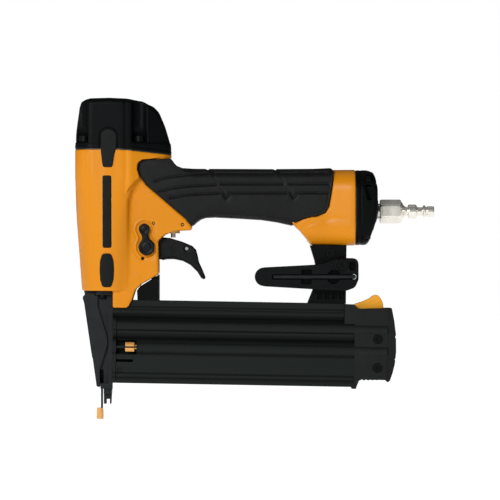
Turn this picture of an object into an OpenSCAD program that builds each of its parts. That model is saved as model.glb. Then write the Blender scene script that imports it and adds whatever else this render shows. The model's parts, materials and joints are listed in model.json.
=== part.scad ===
// Pneumatic brad nailer: cast body with a vertical drive cylinder, a handle that is also the
// air reservoir, and a slightly tilted magazine under it.
// Origin: centre of the hand grip. +X runs back along the handle to the air inlet, +Z is up.

/* [Drive cylinder] */
// Distance from the grip centre forward to the driver axis
driver_ahead = 114; // [112:0.5:116]
// Half the width of the squared drive head
head_half = 24.5; // [24:0.1:25]
// Height of the seam between the body and the head cap
seam_z = 33; // [32:0.5:34]
// Radius of the cylinder sleeve's bore
bore_r = 14; // [13.5:0.1:14.2]
// Travel of the piston and driver blade
drive_stroke = 76; // [70:1:76]

/* [Handle] */
// Radius of the cast handle tube under the grip
tube_r = 14.8; // [14:0.1:15]
// Half the width of the rubber grip
grip_half = 17; // [16:0.5:18]
// Half the width of the tail bell and the rear cap
tail_half = 22; // [21:0.5:23]

/* [Magazine] */
// Downward tilt of the magazine towards the rear, in degrees
mag_tilt = 1; // [0.8:0.1:1.2]
// Length of the fixed rail
rail_len = 173; // [170:1:175]
// Height of the whole magazine
mag_h = 62; // [61:0.5:63]

/* [Trigger] */
// Width of the trigger channel
trigger_w = 11; // [10:0.5:11.5]

/* [Fasteners] */
// Radius of the small screws' threads
screw_r = 2; // [1.8:0.1:2]

/* [Hidden] */
$fn = 48;

gap = 0.3;
fit = 0.05;
driver_x = -driver_ahead;

// Levels along the driver axis
body_floor_z = -72.5;
sleeve_bottom_z = -66;
sleeve_top_z = 37;
bumper_h = 14;
piston_h = 12;
piston_z = sleeve_bottom_z + bumper_h + drive_stroke;
nose_tip_z = -157.5;
blade_tip_z = nose_tip_z + drive_stroke;
sleeve_r = bore_r + 2;

// Trigger group
trigger_pivot = [-84.7, -39.9];
trigger_pin_at = [-55, -40.9];
selector_top = [-86.6, -25.5];
valve_x = -65.3;
arm_x = -80;
arm_plane_y = -8.75;

// Tail and air inlet
tail_x = 71.3;
tail_top = 18;
tail_bottom = -38.5;
tail_mid = (tail_top + tail_bottom) / 2;
inlet_z = -13;
rear_screw_y = 14;
rear_screw_dz = 20;
bracket_screw_at = [53, -44.5];

// Magazine frame: x runs back from the nose, z is down from the top edge
mag_x = -109.8;
mag_z = -79.4;
rail_h = 14.6;
rib_y = 10.5;
rib_r = 4;
rib_b_z = -19;
rib_c_z = -35;
cover_len = 181;
block_end = 205.6;
block_screws = [[198.6, -25.9], [198.6, -47.4]];
latch_pivot = [178.1, -6.2];

// Belt hook
hook_pivot = [61.5, -53.1];
hook_y = -17;
hook_t = 4.5;
wrench_z = -62;
wrench_af = 3;

function mag_top(x) = mag_z - (x - mag_x) * tan(mag_tilt);

// ---------- helpers ----------

// Extrudes an outline given as [x, z] points across Y, between y0 and y1.
module slab(points, y0, y1)
    translate([0, y1, 0]) rotate([90, 0, 0]) linear_extrude(y1 - y0) polygon(points);

// Extrudes 2D children, drawn as [y, z], along X from x0 to x1.
module along_x(x0, x1)
    translate([x0, 0, 0]) rotate([90, 0, 90]) linear_extrude(x1 - x0) children();

module rod_y(at, r, y0, y1)
    translate([at[0], y1, at[1]]) rotate([90, 0, 0]) cylinder(r = r, h = y1 - y0);

module rod_x(y, z, r, x0, x1)
    translate([x0, y, z]) rotate([0, 90, 0]) cylinder(r = r, h = x1 - x0);

module rod_z(x, y, r, z0, z1)
    translate([x, y, z0]) cylinder(r = r, h = z1 - z0);

module box(x0, x1, y0, y1, z0, z1)
    translate([x0, y0, z0]) cube([x1 - x0, y1 - y0, z1 - z0]);

module round_rect(half_w, half_h, r) {
    square([2 * half_w - 2 * r, 2 * half_h], center = true);
    square([2 * half_w, 2 * half_h - 2 * r], center = true);
    for (sx = [-1, 1], sy = [-1, 1])
        translate([sx * (half_w - r), sy * (half_h - r)]) circle(r);
}

module ring_seal(r, wire)
    rotate_extrude() translate([r, 0]) circle(wire);

module socket_screw(r, head_r, head_h, length) {
    difference() {
        cylinder(r = head_r, h = head_h);
        translate([0, 0, head_h * 0.4]) cylinder(r = head_r * 0.52, h = head_h, $fn = 6);
    }
    translate([0, 0, -length]) cylinder(r = r, h = length + 0.1);
}

// A round-wire coil spring along +Z, as one closed tube.
module coil(r, wire, length, turns, steps = 10, sides = 5) {
    n = turns * steps;
    points = [for (i = [0 : n], j = [0 : sides - 1])
        let (a = 360 * i / steps, b = 360 * j / sides, rr = r + wire * cos(b))
        [rr * cos(a), rr * sin(a), wire + (length - 2 * wire) * i / n + wire * sin(b)]];
    walls = [for (i = [0 : n - 1], j = [0 : sides - 1], half = [0, 1])
        let (k = (j + 1) % sides, a = i * sides, b = (i + 1) * sides)
        half == 0 ? [a + j, b + j, b + k] : [a + j, b + k, a + k]];
    first = [for (j = [0 : sides - 1]) j];
    last = [for (j = [sides - 1 : -1 : 0]) n * sides + j];
    polyhedron(points, concat(walls, [first, last]), convexity = 8);
}

module in_magazine()
    translate([mag_x, 0, mag_z]) rotate([0, mag_tilt, 0]) children();

// ---------- cast body ----------

module head_plan(inset = 0) {
    translate([driver_x, 0]) round_rect(head_half - inset, head_half - inset, 14);
    polygon([[-100, -24 + inset], [-96, -24 + inset], [-71, -13 + inset], [-66.6 - inset, -8],
        [-66.6 - inset, 8], [-71, 13 - inset], [-96, 24 - inset], [-100, 24 - inset]]);
}

// Side view of the layer between two heights above the cap seam, which drops to the rear.
module seam_layer(low, high)
    slab([[-145, seam_z + low], [-105, seam_z + low], [-60, seam_z - 4.6 + low],
        [-60, seam_z - 4.6 + high], [-105, seam_z + high], [-145, seam_z + high]], -40, 40);

module barrel(grow = 0)
    translate([driver_x, 0, 0]) rotate_extrude()
        polygon([[0, body_floor_z], [19.4 + grow, body_floor_z], [21.3 + grow, -50],
            [22.5 + grow, -32.5], [24 + grow, -14], [24.5 + grow, 4], [24.5 + grow, 20], [0, 20]]);

module housing_outer() {
    barrel();
    // squared head that fades into the round barrel
    intersection() {
        translate([driver_x, 0, -45]) linear_extrude(90) round_rect(head_half, head_half, 17);
        seam_layer(-90, 0);
        translate([driver_x, 0, 0]) rotate_extrude()
            polygon([[0, -44], [21.9, -42], [24.2, -16], [26.6, 4], [30.5, 22], [30.5, 60], [0, 60]]);
    }
    intersection() {
        translate([0, 0, 20]) linear_extrude(30) head_plan();
        seam_layer(-7.5, 0);
    }
    // handle root behind the barrel, the trigger cheeks, and the diagonal edge under the grip
    slab([[-112, 24], [-112, -64], [-89.7, -68.6], [-75.7, -60], [-76.2, -35], [-71, -30.2],
        [-63.6, -27.6], [-51.6, -27.2], [-51.2, -24.6], [-56, -12], [-66, 10], [-72, 24]],
        -14.6, 14.6);
    rod_x(0, 0, tube_r, -112, 50);
    tail_bell();
    lug_cheeks();
    tail_tongue();
}

module tail_outline()
    translate([0, tail_mid]) round_rect(tail_half, (tail_top - tail_bottom) / 2, 20);

module tail_bell()
    intersection() {
        along_x(18, tail_x) tail_outline();
        slab([[18, 12], [40, 15], [50, tail_top], [tail_x, tail_top], [tail_x, tail_bottom],
            [37.5, tail_bottom], [34.5, -33], [30, -28], [23.9, -23.6], [18, -10]], -30, 30);
    }

// Two cheeks that straddle the front of the magazine rail.
module lug_cheeks()
    for (s = [-1, 1])
        slab([[-110, -62], [-110, -85.3], [-99.8, -85.3], [-98.4, -84], [-95.9, -79.5],
            [-93.4, -71.7], [-89.7, -68.5], [-89.7, -62]], s > 0 ? 11.4 : -14.6, s > 0 ? 14.6 : -11.4);

module tail_tongue()
    box(46, 60, -4, 4, -50, tail_bottom + 1);

module housing() color("orange")
    difference() {
        housing_outer();
        // cylinder, air space round the sleeve, bumper seat and driver passage
        rod_z(driver_x, 0, sleeve_r + fit, sleeve_bottom_z, 60);
        rod_z(driver_x, 0, 20.2, -30, 60);
        rod_z(driver_x, 0, 18.2, -54, -39);
        rod_z(driver_x, 0, 3, body_floor_z - 1, sleeve_bottom_z + 1);
        // air reservoir in the handle, open at the tail
        rod_x(0, 0, 11.5, -105, tail_x + 1);
        along_x(46, tail_x + 1) translate([0, tail_mid]) round_rect(16, 22.5, 13);
        // trigger valve, trigger slot and the passage for the contact arm's rod
        rod_z(valve_x, 0, 6 + fit, -40, -6);
        box(-95, -50, -6.6, 6.6, -54, -29.6);
        rod_z(arm_x, 0, 2.2, -75, -50);
        rod_y(trigger_pivot, 3 + fit, -20, 20);
        for (p = [selector_top, trigger_pivot])
            rod_y(p, 7.2, -20, -13.6);
        slab([[-92.5, -38], [-92.5, -27], [-80.5, -27], [-77.6, -38]], -20, -13.6);
        for (p = roll_pin_places())
            rod_y(p, 1.25, -20, 20);
        for (s = [-1, 1])
            rod_y(dowel_at, 1.25, s > 0 ? 7.8 : -20, s > 0 ? 20 : -7.8);
        // threaded holes
        for (p = cap_screw_places())
            rod_z(p[0], p[1], screw_r + fit, 22, 60);
        for (p = rear_screw_places())
            rod_x(p[0], p[1], screw_r + fit, tail_x - 14, tail_x + 1);
        for (y = nose_screw_ys())
            rod_z(-118, y, 1.5 + fit, body_floor_z - 1, -67.5);
        rod_y(bracket_screw_at, screw_r + fit, -10, 10);
    }

module grip_sleeve() color("dimgray")
    difference() {
        union() {
            // hand section
            intersection() {
                slab(grip_outline(), -30, 30);
                along_x(-63, 60) translate([0, -2.5]) round_rect(grip_half, 22, 14);
            }
            // shield over the handle root
            intersection() {
                slab(grip_outline(), -grip_half, grip_half);
                box(-95, -58, -30, 30, -26, 27);
            }
        }
        housing_outer();
        head_shadow();
    }

function grip_outline() = [[-66.6, 25.2], [-62, 20.4], [-57, 19.3], [-40, 19], [7, 18.7], [52.7, 19.3],
    [55.7, 15.8], [53.9, 3.8], [51.5, -9.4], [49, -14.2], [43, -16.6], [32.3, -18.4], [24, -23.6],
    [13, -21.4], [1, -19.6], [-17, -18.9], [-40.7, -17.8], [-46.7, -20.2], [-49.7, -23.8],
    [-51, -24.3], [-55.6, -18.9], [-85.7, 6.7], [-89.7, 12.8], [-91.5, 18.8], [-90.8, 23],
    [-88, 25.2]];

// Keeps the shield clear of the flange above it.
module head_shadow()
    seam_layer(-7.6, 30);

module upper_side_pads() color("darkslategray")
    for (s = [-1, 1]) {
        y0 = s > 0 ? head_half : -head_half - 1.2;
        slab([[driver_x - 4.5, 42.4], [driver_x - 4.5, 34], [driver_x - 4.4, 30], [driver_x - 3.4, 21],
            [driver_x - 2.6, 19.5], [driver_x + 3.6, 19.5], [driver_x + 4.4, 21], [driver_x + 5.6, 30],
            [driver_x + 7.1, 34], [driver_x + 7.1, 42.4]], y0, y0 + 1.2);
        rod_y([driver_x + 1.3, 42.4], 5.8, y0, y0 + 1.2);
    }

// Plain dark strips let into the sides between the upper and lower pads.
module side_strips() color("black")
    difference() {
        for (s = [-1, 1])
            slab([[driver_x - 3.4, 12.6], [driver_x - 3.4, -39.6], [driver_x - 2.4, -40.6],
                [driver_x + 2.4, -40.6], [driver_x + 3.4, -39.6], [driver_x + 3.4, 12.6],
                [driver_x + 2.4, 13.6], [driver_x - 2.4, 13.6]], s > 0 ? 21 : -24.9, s > 0 ? 24.9 : -21);
        housing_outer();
    }

module lower_side_pads() color("darkslategray")
    difference() {
        intersection() {
            slab([[driver_x - 3.8, -45], [driver_x - 5.2, -52], [driver_x - 5.2, -62],
                [driver_x - 3.8, -69.8], [driver_x + 3.8, -69.8], [driver_x + 5.2, -62],
                [driver_x + 5.2, -52], [driver_x + 3.8, -45]], -40, 40);
            barrel(1);
        }
        barrel();
        box(-125, -100, -15, 15, -72, -40);
    }

// ---------- head cap ----------

function cap_outline() = [[-138.5, 20], [-138.5, 34], [-138, 42.7], [-137, 54.5], [-135.6, 64.5],
    [-133.5, 68.4], [-129.5, 70.2], [-126, 70.8], [-112.5, 71.2], [-99.4, 70.6], [-87.5, 68.6], [-79.7, 65.5],
    [-75.8, 61.8], [-71.3, 51.1], [-67.8, 39.2], [-66.6, 29.5], [-66.6, 20]];

function cap_screw_places() = [[-131.5, -17.3], [-131.5, 17.3], [-90.5, -17], [-90.5, 17]];

gasket_t = 0.8;
screw_seat_z = 39;

module head_cap() color("black")
    difference() {
        intersection() {
            slab(cap_outline(), -40, 40);
            translate([0, 0, 20]) linear_extrude(60) head_plan();
            seam_layer(gasket_t, 60);
        }
        // screw flutes, valve chamber, valve guide and the passage back to the handle
        for (p = cap_screw_places()) {
            rod_z(p[0], p[1], 5, screw_seat_z, 90);
            rod_z(p[0], p[1], screw_r + fit, 20, 60);
        }
        rod_z(driver_x, 0, 19.5, 25, 54);
        rod_z(driver_x, 0, 8.3, 53, 63.5);
        box(-100, -76, -8, 8, 25, 46);
    }

module cap_gasket() color("dimgray")
    difference() {
        intersection() {
            translate([0, 0, 20]) linear_extrude(60) head_plan(0.3);
            seam_layer(0, gasket_t);
        }
        rod_z(driver_x, 0, 20.5, 20, 60);
        for (p = cap_screw_places())
            rod_z(p[0], p[1], screw_r + 0.3, 20, 60);
    }

module cap_screws() color("gray")
    for (p = cap_screw_places())
        translate([p[0], p[1], screw_seat_z]) socket_screw(screw_r, 3.6, 4, 14);

// ---------- drive ----------

module cylinder_sleeve() color("silver")
    difference() {
        rod_z(driver_x, 0, sleeve_r, sleeve_bottom_z, sleeve_top_z);
        rod_z(driver_x, 0, bore_r, sleeve_bottom_z - 1, sleeve_top_z + 1);
        for (z = [-60, -34])
            translate([driver_x, 0, z]) seal_groove();
        // return-air holes
        for (a = [0 : 60 : 300])
            translate([driver_x, 0, -42]) rotate([0, 0, a]) rotate([0, 90, 0]) cylinder(r = 1.5, h = 30);
    }

module seal_groove()
    difference() {
        translate([0, 0, -1.1]) cylinder(r = sleeve_r + 1, h = 2.2);
        translate([0, 0, -2]) cylinder(r = sleeve_r - 1.1, h = 4);
    }

module sleeve_seals() color("black")
    for (z = [-60, -34])
        translate([driver_x, 0, z]) ring_seal(sleeve_r - 0.55, 0.52);

module bumper() color("tan")
    translate([driver_x, 0, sleeve_bottom_z])
        difference() {
            cylinder(r = bore_r - fit, h = bumper_h);
            translate([0, 0, -1]) cylinder(r = 2.6, h = bumper_h + 2);
            translate([0, 0, bumper_h - 7]) cylinder(r = 4.4, h = 8);
            translate([0, 0, 5]) difference() {
                cylinder(r = bore_r + 1, h = 3);
                translate([0, 0, -1]) cylinder(r = bore_r - 1.5, h = 5);
            }
        }

module head_valve() color("ivory")
    translate([driver_x, 0, 0])
        difference() {
            union() {
                rod_z(0, 0, 19.4, sleeve_top_z + gap, sleeve_top_z + 5);
                rod_z(0, 0, 8.2, sleeve_top_z + 4, 58);
            }
            rod_z(0, 0, 5, sleeve_top_z - 1, 55);
        }

module head_valve_spring() color("silver")
    translate([driver_x, 0, sleeve_top_z + 5.2]) coil(12, 0.7, 11.4, 3);

module piston() color("silver")
    translate([driver_x, 0, piston_z])
        difference() {
            union() {
                cylinder(r = bore_r - 0.1, h = piston_h);
                translate([0, 0, -6]) cylinder(r = 4, h = 7);
            }
            translate([0, 0, 4.8]) difference() {
                cylinder(r = bore_r + 1, h = 2.4);
                translate([0, 0, -1]) cylinder(r = bore_r - 2.3, h = 5);
            }
            translate([0, 0, piston_h - 4]) cylinder(r = 9, h = 5);
            translate([-1 - fit, -1 - fit, -7]) cube([2 + 2 * fit, 2 + 2 * fit, 9]);
        }

module piston_seal() color("black")
    translate([driver_x, 0, piston_z + 6]) ring_seal(bore_r - 1.15, 1.05);

module driver_blade() color("silver")
    translate([driver_x, 0, 0]) box(-1, 1, -1, 1, blade_tip_z, piston_z + 2);

// ---------- nose ----------

function nose_screw_ys() = [-8.6, 8.6];

module nose_body() color("dimgray")
    difference() {
        union() {
            slab([[-122.3, body_floor_z - 0.1], [-122.3, -82], [-120, -124], [-120, -131.5],
                [-117.3, -131.5], [-117.3, nose_tip_z],
                [-111.8, nose_tip_z], [-111.2, -145], [-110.05, -79], [-110.05, body_floor_z - 0.1]], -7, 7);
            box(-123, -110.05, -11.2, 11.2, -75.6, body_floor_z);
            box(-131.8, -110.05, -8, 8, -74, body_floor_z);
            // cheek on the far side of the contact wire
            slab([[-120, -131], [-120, -142.6], [-117, -146], [-117, -131]], 1.6, 7);
            // ears that carry the door's hinge
            for (y = [-6.6, 2.6]) {
                rod_y(door_hinge, 1.7, y, y + 4);
                slab([[-128.6, -80.1], [-129, -77], [-122.6, -75.5], [-121, -75.5], [-121, -80.1]], y, y + 4);
            }
        }
        // driver channel and the slot where brads enter from the magazine
        box(driver_x - 1.2, driver_x + 1.2, -1.2, 1.2, nose_tip_z - 1, body_floor_z + 1);
        box(driver_x, -105, -0.8, 0.8, -141, -83);
        // the two prongs of the tip
        box(driver_x - 1.4, driver_x + 1.2, -8, 8, nose_tip_z - 1, nose_tip_z + 3.6);
        for (s = [-1, 1]) {
            slab([[-125, -150], [-105, -150], [-105, -165], [-125, -165]], s > 0 ? 4 : -8, s > 0 ? 8 : -4);
            rod_z(-118, s * 8.6, 1.5 + fit, -80, body_floor_z + 1);
            rod_z(-118, s * 8.6, 2.9, -78.6, -75.6);
        }
        rod_y(door_hinge, 1 + fit, -12, 12);
    }

module nose_screws() color("gray")
    for (y = nose_screw_ys())
        translate([-118, y, -75.6]) rotate([180, 0, 0]) socket_screw(1.5, 2.6, 2.4, 7.5);

door_hinge = [-128.8, -78.6];
latch_hinge = [-124.6, -121.6];

function door_front(inset) = [[-130.2 + inset, -74.5], [-132.6 + inset, -76.6], [-132.9 + inset, -78.2],
    [-131.8 + inset, -81.8], [-126.4 + inset, -119],
    [-125.3 + inset, -124], [-122.9 + inset, -141]];

// Front cover that swings up and open to clear a jam: front wall and two side walls.
module nose_door() color("black")
    difference() {
        slab(concat(door_front(0), [[-122.6, -143.6], [-121.6, -144.6], [-120.2, -144.6],
            [-120.2, -132], [-114.5, -113], [-114.5, -108], [-121.8, -84], [-121.8, -76.2], [-123.6, -76.2],
            [-124.8, -74.5]]), -10, 10);
        slab(concat(door_front(2.2), [[-112, -141], [-112, -72], [-128, -72]]), -7.4, 7.4);
        // the front wall stops below the hinge, so that it swings clear of the ears
        box(-140, -112, -7.4, 7.4, -80.2, -70);
        rod_y(door_hinge, 2, -7.4, 7.4);
        rod_y(door_hinge, 1 + fit, -12, 12);
        // recess for the latch lever
        slab([[-140, -79.8], [-130.8, -79.8], [-125.2, -118.8], [-124.6, -121.6], [-126.4, -123.6],
            [-140, -123.6]], -6.2, 6.2);
        rod_y(latch_hinge, 2, -6.2, 6.2);
        rod_y(latch_hinge, 0.8 + fit, -12, 12);
    }

module door_pin() color("silver")
    rod_y(door_hinge, 1, -9.8, 9.8);

module door_latch() color("black")
    difference() {
        union() {
            slab([[-132.3, -80.8], [-131.8, -82.6], [-126.4, -119], [-125.9, -121.6], [-124.8, -121.6],
                [-125.6, -118.2], [-130.2, -87], [-131.1, -80.8]], -5.8, 5.8);
            rod_y(latch_hinge, 1.7, -5.8, 5.8);
        }
        rod_y(latch_hinge, 0.8 + fit, -12, 12);
    }

module latch_rivet() color("silver")
    rod_y(latch_hinge, 0.8, -9.8, 9.8);

// Formed strip and wire that carry the nose contact up to the trigger.
module contact_arm() color("gray")
    union() {
        rod_z(-118.9, 0, 0.8, -162, -142);
        box(-119.6, -118.2, -9.5, 0.8, -146, -142);
        box(-119.6, -110.4, -9.5, -8, -146, -142);
        box(-113.6, -110.4, -9.5, -8, -146, -85.5);
        box(-113.6, -78.4, -9.5, -8, -89, -85.5);
        box(-81.6, -78.4, -9.5, -8, -89, -79);
        box(-81.6, -78.4, -9.5, 1.6, -81, -79);
        rod_z(arm_x, 0, 1.6, -80, -51);
    }

module no_mar_tip() color("orange")
    difference() {
        translate([-120.3, 0, -169]) {
            cylinder(r = 2.4, h = 8.3);
            cylinder(r = 2.6, h = 6.5);
        }
        rod_z(-118.9, 0, 0.8, -162, -150);
    }

module contact_spring() color("silver")
    translate([arm_x, 0, -78.8]) coil(2.4, 0.35, 12.3, 4);

// Hollow guard between the body and the magazine that the arm works in.
module arm_guard() color("black")
    difference() {
        slab([[-75.7, -60.4], [-75.7, mag_top(-75.7)], [-91.8, mag_top(-91.8)], [-92.2, -72.2],
            [-89.6, -69]], -10.8, 10.8);
        slab([[-77.2, -66], [-77.2, -90], [-90.3, -90], [-90.3, -71.5], [-83.2, -66.2]], -10.1, 9);
        box(-94, -89, -10.1, -7.2, -90, -75.4);
        rod_z(arm_x, 0, 2.2, -75, -50);
    }

// ---------- trigger group ----------

function trigger_outline() = [[-80, -31.8], [-67.7, -32.9], [-51, -38.9], [-48.1, -41.8], [-45.8, -51.4],
    [-43.3, -56.6], [-40.9, -62.4], [-41.2, -63.8], [-42.4, -64.1], [-44.3, -63.1], [-47.1, -58.5],
    [-52.4, -53.3], [-58.1, -50.3], [-64.4, -49], [-69.6, -49], [-74.4, -50], [-88, -47.5],
    [-92, -42], [-92, -37], [-88, -33]];

module trigger() color("black")
    difference() {
        slab(trigger_outline(), -trigger_w / 2, trigger_w / 2);
        // channel for the trip lever and the arm, open at the top and the front
        slab([[-95, -28], [-52, -28], [-49.5, -41], [-52, -47], [-60, -46], [-73.5, -45.6],
            [-73.5, -56], [-95, -56]], -3.6, 3.6);
        rod_y(trigger_pivot, 2.6, -20, 20);
        rod_y(trigger_pin_at, 1.2 + fit, -20, 20);
    }

module trigger_pin() color("silver")
    rod_y(trigger_pin_at, 1.2, -trigger_w / 2 - 0.3, trigger_w / 2 + 0.3);

module trip_lever() color("silver")
    difference() {
        union() {
            rod_y(trigger_pin_at, 2.5, -2.5, 2.5);
            slab([[-55, -38.5], [-62, -35.3], [-68.6, -35.3], [-73, -37], [-79, -42.6], [-79, -45],
                [-74.6, -43.2], [-69, -38.6], [-62, -38.6], [-55, -43.3]], -2.5, 2.5);
        }
        rod_y(trigger_pin_at, 1.2 + fit, -5, 5);
    }

module selector_shaft() color("gray")
    union() {
        rod_y(trigger_pivot, 3, -16.2, -5.9);
        rod_y(trigger_pivot, 2.5, -6, 6);
        rod_y(trigger_pivot, 3, 5.9, 14.4);
    }

module selector_knob() color("black")
    difference() {
        union() {
            rod_y(trigger_pivot, 6.3, -17.4, -14.8);
            rod_y(selector_top, 4.1, -17.4, -14.8);
            slab([[-89.6, -37], [-89.4, -27], [-83, -26], [-80.4, -37]], -16.6, -14.8);
        }
        rod_y(trigger_pivot, 3 + fit, -16.2 - fit, -14);
    }

module valve_body() color("goldenrod")
    difference() {
        union() {
            rod_z(valve_x, 0, 6, -27, -8);
            rod_z(valve_x, 0, 5, -29.5, -26);
        }
        rod_z(valve_x, 0, 4, -23, -9.6);
        rod_z(valve_x, 0, 2, -30, -7);
    }

module valve_stem() color("silver")
    union() {
        rod_z(valve_x, 0, 1.8, -32.6, -20);
        rod_z(valve_x, 0, 3.8, -22.6, -19);
        rod_z(valve_x, 0, 1.6, -19, -12);
    }

module valve_spring() color("silver")
    translate([valve_x, 0, -18.8]) coil(2.8, 0.4, 9, 4);

function roll_pin_places() = [[-57.9, -22.9], [-79.7, -22]];

dowel_at = [-87.8, -48.3];

module roll_pins() color("dimgray") {
    for (p = roll_pin_places())
        difference() {
            rod_y(p, 1.2, -14.2, 14.2);
            rod_y(p, 0.7, -20, 20);
        }
    for (s = [-1, 1])
        rod_y(dowel_at, 1.2, s > 0 ? 8 : -14.2, s > 0 ? 14.2 : -8);
}

// ---------- tail ----------

function rear_screw_places() = [for (sy = [-1, 1], sz = [-1, 1])
    [sy * rear_screw_y, tail_mid + sz * rear_screw_dz]];

rear_x = tail_x + 0.6;

module rear_gasket() color("dimgray")
    difference() {
        along_x(tail_x, rear_x) translate([0, tail_mid]) round_rect(tail_half - 0.4, 27.8, 19);
        along_x(tail_x - 1, rear_x + 1) translate([0, tail_mid]) round_rect(16, 22.5, 13);
        for (p = rear_screw_places())
            rod_x(p[0], p[1], screw_r + 0.3, tail_x - 5, rear_x + 5);
    }

module rear_cap() color("black")
    difference() {
        intersection() {
            along_x(rear_x, 90) tail_outline();
            slab([[70, tail_top], [82, tail_top], [85.6, 15], [87.1, 10.4], [87.8, 4.7], [87.8, -15],
                [83.8, -28], [80.8, -36.4], [78.6, tail_bottom], [70, tail_bottom]], -30, 30);
        }
        along_x(rear_x - 1, 83) translate([0, tail_mid]) round_rect(13, 17, 10);
        rod_x(0, inlet_z, 5.9, 70, 95);
        // exhaust louvres at the top and screw seats at the corners
        for (y = [-9, -3, 3, 9])
            box(74, 95, y - 1.2, y + 1.2, 4.5, 11);
        for (p = rear_screw_places()) {
            rod_x(p[0], p[1], screw_r + fit, 60, 95);
            rod_x(p[0], p[1], 4.2, 79, 95);
        }
        // side windows of the exhaust
        for (s = [-1, 1])
            box(79.5, 84.5, s > 0 ? 17 : -30, s > 0 ? 30 : -17, -3, 5.5);
    }

module rear_cap_screws() color("gray")
    for (p = rear_screw_places())
        translate([79, p[0], p[1]]) rotate([0, 90, 0]) socket_screw(screw_r, 3.6, 3.6, 20);

module exhaust_silencer() color("gray")
    difference() {
        along_x(rear_x + 0.5, 78) translate([0, tail_mid]) round_rect(12.6, 16.6, 9.6);
        rod_x(0, inlet_z, 7, 60, 95);
    }

module inlet_nipple() color("silver")
    difference() {
        union() {
            rod_x(0, inlet_z, 5.85, 78, 97);
            rod_x(0, inlet_z, 6.8, 74, 78);
        }
        rod_x(0, inlet_z, 3.5, 70, 99);
    }

module air_plug() color("silver")
    translate([0, 0, inlet_z]) rotate([0, 90, 0])
        difference() {
            union() {
                translate([0, 0, 90.2]) cylinder(r = 9.18, h = 15.9, $fn = 6);
                rotate_extrude() polygon([[0, 95], [7.6, 95], [7.6, 107], [4.4, 109], [3.3, 109.6],
                    [3.3, 111.2], [5.2, 111.5], [5.2, 117.4], [4.6, 118], [3.2, 118.4], [3.2, 122.3],
                    [4.7, 122.8], [4.7, 124], [3.3, 124.8], [3.3, 125.6], [3.95, 126], [3.95, 131],
                    [0, 131]]);
            }
            translate([0, 0, 80]) cylinder(r = 5.9, h = 17.2);
            translate([0, 0, 90]) cylinder(r = 2.2, h = 45);
        }

module tail_bracket() color("black")
    difference() {
        slab([[37.5, tail_bottom], [41, -50], [42.6, -59], [40.4, -70], [35.7, mag_top(35.7)],
            [64.4, mag_top(64.4)], [64.9, tail_bottom]], -9, 9);
        box(46 - fit, 60 + fit, -4 - fit, 4 + fit, -50 - fit, tail_bottom + 1);
        rod_y(bracket_screw_at, screw_r + fit, -12, 12);
        rod_y(bracket_screw_at, 3.8, -12, -6.5);
        // moulded pockets between the ribs
        for (x = [43, 48.5, 54, 59.5], s = [-1, 1])
            box(x, x + 3.8, s > 0 ? 6.5 : -12, s > 0 ? 12 : -6.5, -79, -73);
        rod_y(hook_pivot, 2.5 + fit, -10, 4);
        for (x = rail_screw_xs())
            rod_z(x, rail_screw_y, 1.5 + fit, -90, -74.5);
    }

module bracket_screw() color("gray")
    translate([bracket_screw_at[0], -6.5, bracket_screw_at[1]]) rotate([90, 0, 0])
        socket_screw(screw_r, 3.5, 2.2, 14);

module belt_hook() color("black")
    difference() {
        union() {
            slab([[2.3, -55], [41.5, -52.9], [57.7, -49], [71, -48], [73.5, -50.5], [73.5, -63],
                [67.5, -71.6], [64.4, -72.4], [39.5, -71.3], [2.3, -69]], hook_y - hook_t, hook_y);
            rod_y([3, -62], 7, hook_y - hook_t, hook_y);
            rod_y(hook_pivot, 6, hook_y - 1, -9 - gap);
        }
        rod_y(hook_pivot, 2.5 + fit, -30, 0);
        rod_y(hook_pivot, 4.2, -30, hook_y - 1.5);
        // channel that stores the wrench, with finger recesses
        box(8, 72, hook_y - hook_t - 1, hook_y - 1, wrench_z - 1.9, wrench_z + 1.9);
        box(68, 72, hook_y - 3, hook_y + 2, wrench_z - 1.9, wrench_z + 1.9);
        box(31, 38.5, hook_y - hook_t - 1, hook_y - 2, wrench_z - 5.2, wrench_z + 5.2);
        rod_y([55.4, wrench_z], 5.2, hook_y - hook_t - 1, hook_y - 2);
        box(66.8, 71.4, hook_y - hook_t - 1, hook_y - 2.2, -57, -50.8);
    }

module hook_screw() color("gray")
    translate([hook_pivot[0], hook_y - 1.6, hook_pivot[1]]) rotate([90, 0, 0])
        socket_screw(2.5, 4, 2.6, 19);

module hex_wrench() color("silver")
    union() {
        translate([9.9, hook_y - 2.9, wrench_z]) rotate([0, 90, 0])
            cylinder(r = wrench_af / sqrt(3), h = 60.1, $fn = 6);
        translate([70, -11, wrench_z]) rotate([90, 0, 0])
            cylinder(r = wrench_af / sqrt(3), h = -hook_y + 2.9 - 11 + 1.5, $fn = 6);
    }

// ---------- magazine ----------

function rail_screw_xs() = [43.9, 58.1];

rail_screw_y = -4.6;

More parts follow.
